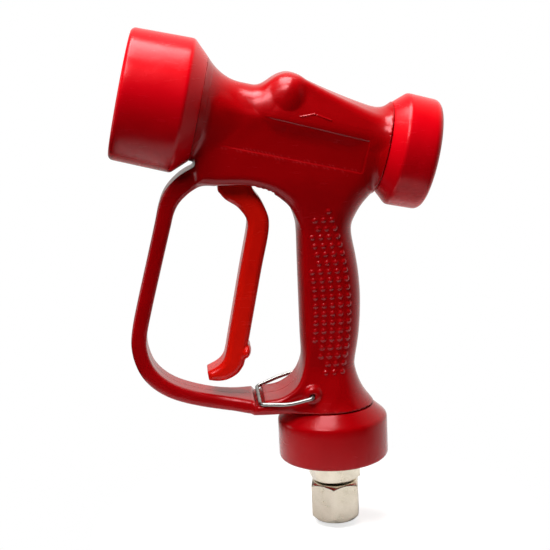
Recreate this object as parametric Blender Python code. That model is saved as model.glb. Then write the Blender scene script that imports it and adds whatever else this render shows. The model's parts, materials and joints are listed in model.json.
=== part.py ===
"""Pistol-grip hose nozzle with a guarded trigger, a wire hold-open latch and a swivelling hose nut.

World frame: +Z runs up the handle from the hose, -X is the way the nozzle points, and the part is
symmetric about Y = 0. The origin is the centre of the strainer's face inside the hose nut, which
is where the hose's own fitting stops. Dimensions below are in millimetres; MM turns them into
metres when a mesh is made.

Turned and moving pieces of the barrel are drawn in the barrel frame: local Z runs along the
barrel towards the nozzle, local X is up and square to it, and local Y is the world's Y.
"""

from math import cos, pi, radians, sin, sqrt

import bmesh
import bpy
from mathutils import Matrix, Vector

MM = 0.001
GAP = 0.3

# Handle and barrel
BARREL_TILT = radians(14.2)
BARREL_HEIGHT = 189.6
COVER_BOTTOM = 50.0
COVER_FRONT = 62.9
COVER_REAR = -31.0
NECK_RADIUS = 17.1
FRONT_SEAM_RADIUS = 25.9
REAR_SEAM_RADIUS = 22.6

# Trigger mechanism, in the barrel frame
PIVOT_UP = 16.5
PIVOT_ALONG = 20.8
SHAFT_RADIUS = 3.4
SHAFT_HALF_LENGTH = 15.2
ARM_INNER = 10.9
ARM_OUTER = 13.0
HUB_RADIUS = 6.2
TURRET_RADIUS = 7.0
CRANK_ROOM = 5.8
BLADE_HALF_WIDTH = 9.5
NOSE_RADIUS = 2.3

# Valve, in the barrel frame
BARREL_RADIUS = 12.0
YOKE_LAND_RADIUS = 10.5
BORE_RADIUS = 8.3
BODY_REAR = -34.0
BODY_FRONT = 68.0
TUBE_RADIUS = 9.5
TUBE_BORE = 5.5
TUBE_BOTTOM = 30.2
STEM_RADIUS = 2.3
SPRING_REAR = -27.7
SPRING_FRONT = -8.3
NOZZLE_RADIUS = 14.0
NOZZLE_REAR = 58.8
NOZZLE_FRONT = 84.0

# Bumpers
FRONT_BUMPER_RADIUS = 33.8
FRONT_BUMPER_BACK = 63.0
FRONT_BUMPER_FACE = 102.2
REAR_BUMPER_RADIUS = 28.2
REAR_BUMPER_FACE = -55.6
COLLAR_RADIUS = 28.4
COLLAR_BOTTOM = 21.7

# Hose swivel, heights above the strainer face
NUT_BOTTOM = -13.0
NUT_TOP = 8.0
ACROSS_FLATS = 24.0
NUT_TURN = radians(20.7)
ADAPTOR_TURN = radians(39.3)
HOSE_THREAD_BORE = 9.4
NIPPLE_RADIUS = 6.3

# Latch, in the world frame: its two ends sit at different heights, so the wire snaps over
LATCH_X = -11.5
LATCH_END_Y = 20.3
LATCH_LEFT_Z = 58.8
LATCH_RIGHT_Z = 63.5
LATCH_BAR = (-38.0, 16.0, 56.2)
WIRE_RADIUS = 1.0
BOSS_RISE = 1.9


def look(name, colour, roughness, metallic=0.0):
    """A Principled material, made once for each name."""
    if name in bpy.data.materials:
        return bpy.data.materials[name]
    made = bpy.data.materials.new(name)
    made.use_nodes = True
    shader = made.node_tree.nodes["Principled BSDF"]
    shader.inputs["Base Color"].default_value = (*colour, 1.0)
    shader.inputs["Roughness"].default_value = roughness
    shader.inputs["Metallic"].default_value = metallic
    return made


def red_rubber():
    return look("red_rubber", (0.55, 0.004, 0.008), 0.34)


def red_gloss():
    return look("red_gloss", (0.6, 0.006, 0.01), 0.24)


def brass():
    return look("brass", (0.72, 0.53, 0.26), 0.32, 1.0)


def nickel():
    return look("nickel_plate", (0.76, 0.71, 0.60), 0.22, 1.0)


def stainless():
    return look("stainless", (0.62, 0.61, 0.59), 0.25, 1.0)


def black_rubber():
    return look("black_rubber", (0.02, 0.02, 0.022), 0.6)


def white_plastic():
    return look("white_plastic", (0.82, 0.82, 0.78), 0.45)


def arc(cx, cz, radius, start, end, steps):
    """Points along an arc, angles in degrees from +x towards +z."""
    angles = [radians(start + (end - start) * i / steps) for i in range(steps + 1)]
    return [(cx + radius * cos(a), cz + radius * sin(a)) for a in angles]


def spline(points, steps):
    """A Catmull-Rom curve through points of any one length, steps to each span."""
    ends = [points[0]] + list(points) + [points[-1]]
    curve = []
    for p, q, r, s in zip(ends, ends[1:], ends[2:], ends[3:]):
        for i in range(steps):
            t = i / steps
            curve.append(
                tuple(
                    0.5 * (2 * b + (c - a) * t + (2 * a - 5 * b + 4 * c - d) * t * t
                           + (3 * b - a - 3 * c + d) * t ** 3)
                    for a, b, c, d in zip(p, q, r, s)
                )
            )
    curve.append(tuple(points[-1]))
    return curve


def skin(mesh, rings):
    """Join rings of equally many vertices with quads, and close the two ends."""
    count = len(rings[0])
    for low, high in zip(rings, rings[1:]):
        for i in range(count):
            j = (i + 1) % count
            mesh.faces.new((low[i], low[j], high[j], high[i]))
    mesh.faces.new(rings[0][::-1])
    mesh.faces.new(rings[-1])


def turned(profile, steps=32):
    """A solid of revolution about local Z from a closed outline of (radius, height)."""
    mesh = bmesh.new()
    rings = []
    for radius, height in profile:
        if radius == 0:
            rings.append([mesh.verts.new((0, 0, height))])
            continue
        angles = [2 * pi * (i + 0.5) / steps for i in range(steps)]
        rings.append([mesh.verts.new((radius * cos(a), radius * sin(a), height)) for a in angles])
    for low, high in zip(rings, rings[1:] + rings[:1]):
        for i in range(steps):
            j = (i + 1) % steps
            corners = [low[i % len(low)], low[j % len(low)], high[j % len(high)], high[i % len(high)]]
            face = list(dict.fromkeys(corners))
            if len(face) > 2:
                mesh.faces.new(face)
    return mesh


def shrunk(outline, distance):
    """The closed outline with each corner moved inwards along its bisector."""
    turn = sum(x0 * z1 - x1 * z0 for (x0, z0), (x1, z1) in zip(outline, outline[1:] + outline[:1]))
    inward = distance if turn > 0 else -distance
    moved_in = []
    for before, here, after in zip(outline[-1:] + outline[:-1], outline, outline[1:] + outline[:1]):
        first = (Vector(here) - Vector(before)).normalized()
        second = (Vector(after) - Vector(here)).normalized()
        normal = Vector((-first.y - second.y, first.x + second.x)).normalized()
        reach = inward / max(0.5, normal.dot(Vector((-first.y, first.x))))
        moved_in.append((here[0] + normal.x * reach, here[1] + normal.y * reach))
    return moved_in


def prism(outline, y_low, y_high, chamfer=0.0):
    """An outline of (x, z) carried straight from y_low to y_high, its rims chamfered."""
    mesh = bmesh.new()
    layers = [(outline, y_low), (outline, y_high)]
    if chamfer:
        small = shrunk(outline, chamfer)
        layers = [(small, y_low), (outline, y_low + chamfer), (outline, y_high - chamfer), (small, y_high)]
    skin(mesh, [[mesh.verts.new((x, y, z)) for x, z in points] for points, y in layers])
    return mesh


def bar(stations, corners=5, power=2.6, level=False):
    """A bar along a path of (x, z, half thickness, half width), its section a rounded box.

    Level sections stay horizontal; the others stand square to the path.
    """
    mesh = bmesh.new()
    rings = []
    count = 4 * corners
    for i, (x, z, thick, wide) in enumerate(stations):
        before = stations[max(i - 1, 0)]
        after = stations[min(i + 1, len(stations) - 1)]
        along = Vector((after[0] - before[0], 0, after[1] - before[1])).normalized()
        across = Vector((1, 0, 0)) if level else Vector((along.z, 0, -along.x))
        ring = []
        for k in range(count):
            a = 2 * pi * (k + 0.5) / count
            u = abs(cos(a)) ** (2 / power) * (1 if cos(a) > 0 else -1)
            v = abs(sin(a)) ** (2 / power) * (1 if sin(a) > 0 else -1)
            spot = Vector((x, 0, z)) + across * (thick * u) + Vector((0, wide * v, 0))
            ring.append(mesh.verts.new(spot))
        rings.append(ring)
    skin(mesh, rings)
    return mesh


def tube(path, radius, sides=10):
    """A round wire along a path of points, its section carried without twist."""
    mesh = bmesh.new()
    spots = [Vector(p) for p in path]
    count = len(spots)
    rings = []
    normal = None
    for i, spot in enumerate(spots):
        before = spots[max(i - 1, 0)]
        after = spots[min(i + 1, count - 1)]
        along = (after - before).normalized()
        if normal is None:
            normal = along.orthogonal()
        normal = (normal - along * normal.dot(along)).normalized()
        other = along.cross(normal)
        angles = [2 * pi * k / sides for k in range(sides)]
        rings.append([mesh.verts.new(spot + (normal * cos(a) + other * sin(a)) * radius) for a in angles])
    skin(mesh, rings)
    return mesh


def ring_profile(inner, outer, low, high):
    return [(inner, low), (outer, low), (outer, high), (inner, high)]


def torus_profile(mean, minor, height, steps=6):
    return arc(mean, height, minor, 0, 360 * (steps - 1) / steps, steps - 1)


def laid_across(mesh):
    """Turn a solid drawn about Z so that its axis runs along Y."""
    for vert in mesh.verts:
        x, y, z = vert.co
        vert.co = (y, z, x)
    return mesh


def turn_up(mesh):
    """Turn a solid drawn about Z so that its axis runs along local X."""
    for vert in mesh.verts:
        x, y, z = vert.co
        vert.co = (z, x, y)
    return mesh


def moved(mesh, x=0.0, y=0.0, z=0.0):
    bmesh.ops.translate(mesh, vec=(x, y, z), verts=mesh.verts)
    return mesh


def solid(name, mesh, finish, frame, origin=(0, 0, 0)):
    """Make a named object from a mesh drawn in the frame, with its own origin at a point there."""
    bmesh.ops.recalc_face_normals(mesh, faces=mesh.faces)
    start = Vector(origin)
    for vert in mesh.verts:
        vert.co = (vert.co - start) * MM
    data = bpy.data.meshes.new(name)
    mesh.to_mesh(data)
    mesh.free()
    data.materials.append(finish)
    data.shade_smooth()
    data.set_sharp_from_angle(angle=radians(32))
    made = bpy.data.objects.new(name, data)
    bpy.context.scene.collection.objects.link(made)
    made.parent = frame
    made.location = start * MM
    return made


def helper(name, mesh, frame):
    """A shape that only cuts or joins another."""
    made = solid(name, mesh, look("helper", (0.5, 0.5, 0.5), 0.5), frame)
    made.hide_render = True
    made.display_type = "WIRE"
    return made


def combine(target, operation, *others):
    for other in others:
        step = target.modifiers.new(other.name, "BOOLEAN")
        step.operation = operation
        step.solver = "EXACT"
        step.object = other


def frames():
    """The two empties that the pieces hang from: the handle's and the barrel's."""
    made = {}
    for name in ("handle_frame", "barrel_frame"):
        made[name] = bpy.data.objects.new(name, None)
        bpy.context.scene.collection.objects.link(made[name])
    made["barrel_frame"].parent = made["handle_frame"]
    made["barrel_frame"].location = (0, 0, BARREL_HEIGHT * MM)
    made["barrel_frame"].rotation_euler = (0, BARREL_TILT - pi / 2, 0)
    return made


def front_bumper_profile(grow=0.0):
    """Outline of the front bumper; grow swells its outside, for a clearance cutter."""
    outer = FRONT_BUMPER_RADIUS + grow
    back = FRONT_BUMPER_BACK - 0.8 * grow
    floor = 82.0
    lip = [(outer - 0.9, FRONT_BUMPER_FACE - 2.2), (outer - 2.4, FRONT_BUMPER_FACE - 0.4)]
    return [
        (NOZZLE_RADIUS + GAP, back), (FRONT_SEAM_RADIUS + grow, back), (outer - 0.5, 70.4),
        (outer, 72.6), *lip, (outer - 4.0, FRONT_BUMPER_FACE), (26.5, FRONT_BUMPER_FACE),
        (24.0, FRONT_BUMPER_FACE - 2.0), (22.0, floor + 2.0), (20.0, floor),
        (NOZZLE_RADIUS + GAP, floor),
    ]


def cover_shell(frame):
    """Turned skin of the barrel, waisted at the neck and flared to both seams."""
    flare = [
        (FRONT_SEAM_RADIUS, COVER_FRONT), (22.6, 59.4), (20.0, 56.0), (18.2, 52.0),
        (NECK_RADIUS + 0.1, 47.0), (NECK_RADIUS, 38.0), (NECK_RADIUS, 0.0), (NECK_RADIUS + 0.2, -18.0),
        (18.6, -24.0), (REAR_SEAM_RADIUS, COVER_REAR),
    ]
    return solid("body_cover", turned([(0, COVER_REAR), (0, COVER_FRONT)] + flare, 40),
                 red_rubber(), frame)


def cover_web(frame):
    """Deep block under the barrel, with the arch over the trigger and the blends into the grip."""
    lower = spline(
        [(-36.2, 60.0), (-34.6, 47.0), (-31.6, 30.0), (-32.8, 19.0), (-38.8, 8.5), (-50.0, 2.5)], 3)
    back = [(-50.0, -25.0), (-39.0, -24.2), (-32.0, -25.6), (-26.5, -28.4), (-23.2, -31.2)]
    outline = [(-4.0, -30.6), (-4.0, 60.5)] + lower + back
    return helper("cover_web", prism(outline, -16.6, 16.6, chamfer=2.5), frame)


def cover_grip(frame):
    """Handle: an oval loft, pinched above the collar and flared to meet it."""
    stations = [
        (COVER_BOTTOM, -21.6, 21.6, 21.6), (54.0, -19.8, 20.0, 19.0), (60.0, -18.0, 16.8, 16.2),
        (68.0, -16.4, 12.8, 14.2), (76.0, -16.0, 12.8, 13.8), (92.0, -15.7, 15.4, 14.0),
        (112.0, -15.4, 16.0, 14.3), (136.0, -15.0, 13.2, 14.2), (148.0, -15.2, 14.2, 14.8),
        (157.0, -20.0, 20.5, 15.6), (176.0, -20.0, 24.0, 15.6),
    ]
    path = [((a + b) / 2, z, (b - a) / 2, wide) for z, a, b, wide in spline(stations, 2)]
    return helper("cover_grip", bar(path, corners=5, power=2.3, level=True), frame)


def cover_guard(frame):
    """Bow round the trigger, from behind the front bumper to the pad in front of the collar."""
    stations = [
        (-56.0, 173.4, 6.0, 14.0), (-68.9, 169.4, 5.6, 12.3), (-75.6, 163.9, 4.8, 10.8),
        (-79.4, 157.0, 4.3, 10.2),
        (-82.4, 146.4, 4.0, 10.0), (-92.6, 110.0, 4.0, 10.0), (-97.2, 90.0, 4.0, 10.0),
        (-94.2, 74.5, 4.1, 10.0), (-83.5, 64.2, 4.0, 10.0), (-67.0, 58.0, 3.9, 10.0),
        (-52.0, 54.8, 3.9, 12.0), (-42.0, 53.6, 3.9, 15.2), (-30.0, 53.4, 3.9, 16.2),
        (-12.0, 53.6, 3.5, 15.0),
    ]
    return helper("cover_guard", bar(spline(stations, 2), corners=3, power=3.0), frame)


def cover_hump(frame):
    """Round boss across the top of the barrel over the trigger shaft, with a fairing behind."""
    rise = PIVOT_UP + 0.4
    centre = PIVOT_ALONG + 0.8
    boss_radius = 9.1
    boss = [(0, -18.0), (5.0, -17.5), (7.4, -15.6), (boss_radius, -11.6)]
    boss += [(radius, -height) for radius, height in reversed(boss)]
    crown = helper("cover_boss", moved(laid_across(turned(boss, 24)), rise, 0, centre), frame)
    ramp = [(2.0, -14.0), (15.0, -14.0), (rise + boss_radius - 0.4, centre), (2.0, centre)]
    fairing = helper("cover_fairing", prism(ramp, -16.0, 16.0, chamfer=3.0), frame)
    return [crown, fairing]


def latch_axis_point(y):
    """The point of the latch's axis at a given y."""
    middle = (LATCH_LEFT_Z + LATCH_RIGHT_Z) / 2
    slope = (LATCH_RIGHT_Z - LATCH_LEFT_Z) / (2 * LATCH_END_Y)
    return Vector((LATCH_X, y, middle + slope * y))


def latch_bosses(frame):
    """Round bosses on both sides of the grip's foot that take the latch wire's ends."""
    made = []
    for side, sign, height in (("left", -1, LATCH_LEFT_Z), ("right", 1, LATCH_RIGHT_Z)):
        profile = [(0, 8.0), (4.4, 8.0), (4.4, 17.0), (3.4, 18.4), (0, 18.8)]
        boss = moved(laid_across(turned(profile, 16)), LATCH_X, 0, height + BOSS_RISE)
        for vert in boss.verts:
            vert.co.y *= sign
        made.append(helper("latch_boss_" + side, boss, frame))
    return made


def cover_cutters(barrel, handle):
    """Everything that leaves the cover hollow: valve, trigger well, pivot ends, handle tube."""
    swing = [
        (PIVOT_UP, 13.0), (4.0, 12.6), (0.0, 13.7), (-14.0, 16.4), (-24.0, 18.4), (-60.0, 18.4),
        (-60.0, 47.2), (-28.0, 47.2), (-11.8, 45.4), (-2.6, 37.6), (5.2, 31.8), (PIVOT_UP - 3.0, 29.0),
    ]
    crown = arc(PIVOT_UP, PIVOT_ALONG, TURRET_RADIUS + 0.5, 80, -80, 8)
    inner_half = ARM_OUTER + GAP
    end = SHAFT_HALF_LENGTH + 0.5
    ends = turned([(0, -end), (5.9, -end), (5.9, end), (0, end)], 24)
    latch_hole = tube([latch_axis_point(-30), latch_axis_point(30)], WIRE_RADIUS + GAP, 12)
    notch_x, _, notch_z = LATCH_BAR
    floor = notch_z - WIRE_RADIUS - GAP
    notch = [(notch_x - 1.8, floor), (notch_x + 1.8, floor), (notch_x + 4.5, 64.0), (notch_x - 4.5, 64.0)]
    shoulder = front_bumper_profile(grow=0.5)[1:4]
    keep_off = [(0, shoulder[0][1])] + shoulder + [(shoulder[-1][0], 110.0), (0, 110.0)]
    wide, narrow, step = NOZZLE_RADIUS + GAP, BARREL_RADIUS + GAP, NOZZLE_REAR - GAP
    bore = [(0, -45), (narrow, -45), (narrow, step), (wide, step), (wide, 75), (0, 75)]
    tube_bore = ring_profile(0, TUBE_RADIUS + GAP, 30, BARREL_HEIGHT)
    return [
        helper("bore_cut", turned(bore), barrel),
        helper("well_cut", prism(swing + crown, -inner_half, inner_half), barrel),
        helper("pivot_cut", moved(laid_across(ends), PIVOT_UP, 0, PIVOT_ALONG), barrel),
        helper("tube_cut", turned(tube_bore), handle),
        helper("latch_hole_cut", latch_hole, handle),
        helper("notch_cut", prism(notch, -30, 30), handle),
        helper("bumper_cut", turned(keep_off, 40), barrel),
    ]


def body_cover(handle, barrel):
    """One-piece moulded cover: barrel skin, grip, guard and bosses, hollow for the works."""
    cover = cover_shell(barrel)
    shapes = [cover_web(barrel), cover_grip(handle), cover_guard(handle)]
    combine(cover, "UNION", *shapes, *cover_hump(barrel), *latch_bosses(handle))
    combine(cover, "DIFFERENCE", *cover_cutters(barrel, handle))


def valve_body(handle, barrel):
    """Brass casting: valve barrel, shaft turret on top, and the tube down through the handle."""
    outer = [
        (0, BODY_REAR), (BARREL_RADIUS, BODY_REAR), (BARREL_RADIUS, 7.6), (YOKE_LAND_RADIUS, 9.4),
        (YOKE_LAND_RADIUS, 49.0), (BARREL_RADIUS, 50.6), (BARREL_RADIUS, 56.0), (10.0, 56.0),
        (10.0, BODY_FRONT), (0, BODY_FRONT),
    ]
    casting = solid("valve_body", turned(outer, 28), brass(), barrel)
    turret_half = ARM_INNER - 0.4
    turret = arc(PIVOT_UP, PIVOT_ALONG, TURRET_RADIUS, 90, -90, 10)
    turret += [(5.0, PIVOT_ALONG - TURRET_RADIUS), (5.0, PIVOT_ALONG + TURRET_RADIUS)]
    foot = 11.0
    stalk = [
        (0, TUBE_BOTTOM), (foot, TUBE_BOTTOM), (foot, 44.0), (TUBE_RADIUS, 46.0),
        (TUBE_RADIUS, BARREL_HEIGHT), (0, BARREL_HEIGHT),
    ]
    combine(
        casting, "UNION",
        helper("turret_join", prism(turret, -turret_half, turret_half), barrel),
        helper("stalk_join", turned(stalk, 24), handle),
    )
    bore = [(0, -60), (BORE_RADIUS, -60), (BORE_RADIUS, 60.0), (7.0, 62.0), (7.0, 90.0), (0, 90.0)]
    socket = [
        (0, 20), (8.3, 20), (8.3, 42.0), (TUBE_BORE, 44.0), (TUBE_BORE, BARREL_HEIGHT - 1.0),
        (0, BARREL_HEIGHT - 1.0),
    ]
    pocket = arc(PIVOT_UP, PIVOT_ALONG, CRANK_ROOM, 90, -90, 10)
    pocket += [(1.0, PIVOT_ALONG - CRANK_ROOM), (1.0, PIVOT_ALONG + CRANK_ROOM)]
    gland = turned([(0, -20), (5.4, -20), (5.4, -7.2), (SHAFT_RADIUS + GAP, -7.2),
                    (SHAFT_RADIUS + GAP, 7.2), (5.4, 7.2), (5.4, 20), (0, 20)], 16)
    combine(
        casting, "DIFFERENCE",
        helper("valve_bore_cut", turned(bore, 24), barrel),
        helper("socket_cut", turned(socket, 20), handle),
        helper("pocket_cut", prism(pocket, -CRANK_ROOM, CRANK_ROOM), barrel),
        helper("gland_cut", moved(laid_across(gland), PIVOT_UP, 0, PIVOT_ALONG), barrel),
    )


def nozzle(barrel):
    """Nozzle tip screwed over the front of the casting, its seat ring and its O-ring."""
    step = BODY_FRONT + GAP
    tip = [
        (10.3, NOZZLE_REAR), (NOZZLE_RADIUS, NOZZLE_REAR), (NOZZLE_RADIUS, NOZZLE_FRONT - 1.5),
        (NOZZLE_RADIUS - 1.5, NOZZLE_FRONT), (7.4, NOZZLE_FRONT), (4.3, 80.5), (4.3, 77.5),
        (6.2, 71.4), (8.4, 71.2), (8.4, step), (10.3, step),
    ]
    solid("nozzle_tip", turned(tip, 28), brass(), barrel)
    solid("seat_ring", turned(ring_profile(5.2, 8.1, step + GAP, 70.9), 24), stainless(), barrel)
    solid("nozzle_o_ring", turned(torus_profile(11.1, 0.9, 57.4), 20), black_rubber(), barrel)


def bumpers(barrel, handle):
    """The three thick rubber rings that take the knocks when the nozzle is dropped."""
    solid("front_bumper", turned(front_bumper_profile(), 40), red_rubber(), barrel)
    outer = REAR_BUMPER_RADIUS
    rear = [
        (0, REAR_BUMPER_FACE + 1.2), (14.0, REAR_BUMPER_FACE + 1.2), (16.0, REAR_BUMPER_FACE),
        (outer - 3.2, REAR_BUMPER_FACE), (outer - 1.0, REAR_BUMPER_FACE + 0.9),
        (outer - 0.2, REAR_BUMPER_FACE + 3.0), (outer, -39.4), (outer - 0.5, -37.4),
        (REAR_SEAM_RADIUS, COVER_REAR - 0.4), (12.6, COVER_REAR - 0.4), (12.6, -43.0), (0, -43.0),
    ]
    solid("rear_bumper", turned(rear, 36), red_rubber(), barrel)
    wide = COLLAR_RADIUS
    seam = COVER_BOTTOM - 0.4
    collar = [
        (14.9, COLLAR_BOTTOM), (wide - 3.4, COLLAR_BOTTOM), (wide - 1.2, COLLAR_BOTTOM + 0.9),
        (wide - 0.3, COLLAR_BOTTOM + 3.0), (wide, 41.2), (wide - 0.8, 43.4), (21.6, seam),
        (11.4, seam), (11.4, 28.2), (14.9, 28.2),
    ]
    solid("swivel_bumper", turned(collar, 36), red_rubber(), handle)


def rear_plug(barrel):
    """Hexagon plug that closes the back of the casting, with its O-ring and the stem's bush."""
    flange = BODY_REAR - GAP
    plug = [
        (0, -37.0), (2.7, -37.0), (2.7, -32.2), (4.8, -32.2), (4.8, -28.0), (8.0, -28.0),
        (8.0, -30.2), (6.9, -30.2), (6.9, -32.4), (8.0, -32.4), (8.0, flange), (11.9, flange),
        (11.9, -42.0), (0, -42.0),
    ]
    solid("rear_plug", turned(plug, 20), brass(), barrel)
    solid("plug_o_ring", turned(torus_profile(7.55, 0.6, -31.3), 18), black_rubber(), barrel)
    solid("stem_bush", turned(ring_profile(STEM_RADIUS + GAP, 4.5, -31.9, -28.2), 16),
          white_plastic(), barrel)


def valve_stem(barrel):
    """Pull rod: tail in the bush, spring seat, two collars for the crank, head and spray cone."""
    groove = NOSE_RADIUS + GAP
    front, rear = PIVOT_ALONG + groove, PIVOT_ALONG - groove
    thick = 3.0
    rod = [
        (0, -32.5), (STEM_RADIUS, -32.5), (STEM_RADIUS, -8.0), (6.8, -8.0), (6.8, -5.5),
        (STEM_RADIUS, -5.5), (STEM_RADIUS, rear - thick), (4.6, rear - thick), (4.6, rear),
        (STEM_RADIUS, rear), (STEM_RADIUS, front), (4.6, front), (4.6, front + thick),
        (STEM_RADIUS, front + thick), (STEM_RADIUS, 62.9), (5.6, 63.4), (5.6, 65.2),
        (STEM_RADIUS, 65.4), (STEM_RADIUS, 69.0), (1.7, 71.0), (1.7, 78.0), (3.3, 81.5), (0, 82.2),
    ]
    solid("valve_stem", turned(rod, 16), stainless(), barrel)
    washer = [(STEM_RADIUS + GAP, 65.7), (6.2, 65.7), (6.2, 67.4), (5.4, 68.3), (STEM_RADIUS + GAP, 68.3)]
    solid("stem_seal", turned(washer, 20), black_rubber(), barrel)


def return_spring(barrel):
    """Coil that pushes the stem forward on to its seat."""
    wire, radius, turns, steps = 0.65, 5.6, 6, 12
    low, high = SPRING_REAR + wire, SPRING_FRONT - wire
    total = turns * steps
    path = []
    for i in range(total + 1):
        angle = 2 * pi * i / steps
        height = low + (high - low) * i / total
        path.append((radius * cos(angle), radius * sin(angle), height))
    solid("return_spring", tube(path, wire, sides=5), stainless(), barrel)


def pivot_parts(barrel):
    """Cross shaft, the crank fork pinned to it, and the seals where it leaves the casting."""
    at = (PIVOT_UP, 0, PIVOT_ALONG)

    def about_shaft(profile, segments=16):
        return moved(laid_across(turned(profile, segments)), PIVOT_UP, 0, PIVOT_ALONG)

    half = SHAFT_HALF_LENGTH
    chamfer = 0.5
    rod = [(0, -half), (SHAFT_RADIUS - chamfer, -half), (SHAFT_RADIUS, -half + chamfer)]
    rod += [(radius, -height) for radius, height in reversed(rod)]
    shaft = solid("pivot_shaft", about_shaft(rod), stainless(), barrel, at)
    through = moved(turn_up(turned(ring_profile(0, 1.2, -9, 9), 12)), PIVOT_UP, 0, PIVOT_ALONG)
    pin_hole = helper("pin_hole_cut", through, barrel)
    combine(shaft, "DIFFERENCE", pin_hole)

    hub_half = 5.2
    fork = solid("crank_fork", about_shaft(
        [(0, -hub_half), (5.2, -hub_half), (5.2, hub_half), (0, hub_half)], 20), stainless(), barrel, at)
    for side, sign in (("left", -1), ("right", 1)):
        low, high = sorted((sign * 2.8, sign * 5.1))
        tine = [(PIVOT_UP - 3.0, PIVOT_ALONG - 3.4), (PIVOT_UP - 3.0, PIVOT_ALONG + 3.4),
                (7.5, PIVOT_ALONG + 1.4), (1.2, PIVOT_ALONG + 1.4), (1.2, PIVOT_ALONG - 1.4),
                (7.5, PIVOT_ALONG - 1.4)]
        nose = moved(laid_across(turned([(0, low), (NOSE_RADIUS, low), (NOSE_RADIUS, high), (0, high)], 14)),
                     0, 0, PIVOT_ALONG)
        combine(fork, "UNION", helper("tine_" + side, prism(tine, low, high), barrel),
                helper("nose_" + side, nose, barrel))
    hub_bore = [(0, -9), (SHAFT_RADIUS + 0.2, -9), (SHAFT_RADIUS + 0.2, 9), (0, 9)]
    combine(fork, "DIFFERENCE", helper("hub_bore_cut", about_shaft(hub_bore), barrel), pin_hole)
    pin = moved(turn_up(turned([(0, -5.0), (0.9, -5.0), (0.9, 5.0), (0, 5.0)], 12)),
                PIVOT_UP, 0, PIVOT_ALONG)
    solid("crank_pin", pin, stainless(), barrel, at)

    for side, sign in (("left", -1), ("right", 1)):
        mid = 8.15 * sign
        solid("shaft_o_ring_" + side, about_shaft(torus_profile(4.5, 0.75, mid), 16),
              black_rubber(), barrel, at)
        low, high = sorted((9.2 * sign, 10.4 * sign))
        solid("shaft_gland_" + side, about_shaft(ring_profile(SHAFT_RADIUS + 0.2, 5.1, low, high)),
              white_plastic(), barrel, at)
        shaft_clip("shaft_clip_" + side, sign, barrel, at)


def shaft_clip(name, sign, barrel, at):
    """Open spring clip that holds a trigger arm on the end of the shaft."""
    outline = arc(0, 0, 5.6, 50, 310, 12) + arc(0, 0, SHAFT_RADIUS + 0.2, 300, 60, 10)
    low, high = sorted((sign * (ARM_OUTER + GAP), sign * (ARM_OUTER + 1.2)))
    clip = prism([(x + PIVOT_UP, z + PIVOT_ALONG) for x, z in outline], low, high)
    solid(name, clip, stainless(), barrel, at)


def trigger_lever(barrel):
    """Forked lever: two arms round the casting, a bridge under it, and the curled finger blade."""
    at = (PIVOT_UP, 0, PIVOT_ALONG)
    hub = arc(PIVOT_UP, PIVOT_ALONG, HUB_RADIUS, 110, -110, 12)
    arms = [
        (13.4, 15.0), (0.0, 17.5), (-14.0, 23.0), (-25.0, 27.8), (-29.0, 29.0),
        (-29.0, 46.2), (-12.0, 44.4), (-3.0, 36.6), (5.0, 30.8),
    ]
    plate = hub + arms
    lever = solid("trigger_lever", prism(plate, -ARM_OUTER, ARM_OUTER), red_gloss(), barrel, at)
    blade_path = [
        (-24.0, 38.0, 8.4), (-32.0, 37.8, 8.0), (-37.6, 34.4, 7.0), (-41.9, 28.8, 6.0),
        (-47.0, 24.3, 5.6), (-53.5, 22.3, 5.4), (-72.8, 21.8, 5.3), (-112.0, 20.6, 5.2),
        (-119.0, 20.6, 5.3), (-124.9, 22.7, 5.2), (-128.9, 27.2, 4.1), (-131.2, 31.9, 3.0),
    ]
    stations = [(up, along, half, BLADE_HALF_WIDTH) for up, along, half in spline(blade_path, 2)]
    blade = bar(stations, corners=4, power=3.2)
    rest_up, rest_along = -114.9, 16.4
    nub = moved(laid_across(turned(ring_profile(0, 2.4, -3.5, 3.5), 14)), rest_up, 0, rest_along)
    combine(lever, "UNION", helper("blade_join", blade, barrel), helper("nub_join", nub, barrel))
    gate = [(-14.2, -10.0), (60.0, -10.0), (60.0, 80.0), (-14.2, 80.0)]
    hole = [(0, -30), (SHAFT_RADIUS + 0.2, -30), (SHAFT_RADIUS + 0.2, 30), (0, 30)]
    combine(
        lever, "DIFFERENCE",
        helper("fork_cut", prism(gate, -ARM_INNER, ARM_INNER), barrel),
        helper("lever_hole_cut", moved(laid_across(turned(hole, 16)), PIVOT_UP, 0, PIVOT_ALONG), barrel),
    )


def rounded(path, reach, steps=3):
    """The path with each inner corner replaced by a short curve."""
    smooth = [path[0]]
    for before, here, after in zip(path, path[1:], path[2:]):
        start = here + (before - here).normalized() * reach
        end = here + (after - here).normalized() * reach
        for i in range(steps + 1):
            t = i / steps
            smooth.append(start * (1 - t) ** 2 + here * (2 * t * (1 - t)) + end * t * t)
    smooth.append(path[-1])
    return smooth


def latch_wire(handle):
    """Bent wire bail: two ends in the bosses, two kneed legs, and the bar that hooks the trigger."""
    bar_x, bar_y, bar_z = LATCH_BAR
    knee_left = Vector((bar_x + 14.4, -19.2, LATCH_LEFT_Z - 2.8))
    knee_right = Vector((bar_x + 12.0, 19.2, LATCH_RIGHT_Z - 3.5))
    path = [
        latch_axis_point(-14.8), latch_axis_point(-LATCH_END_Y), knee_left,
        Vector((bar_x, -bar_y, bar_z)), Vector((bar_x, bar_y, bar_z)),
        knee_right, latch_axis_point(LATCH_END_Y), latch_axis_point(14.8),
    ]
    wire = tube(rounded(path, 1.7), WIRE_RADIUS, 8)
    solid("latch_wire", wire, stainless(), handle, latch_axis_point(0))


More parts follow.
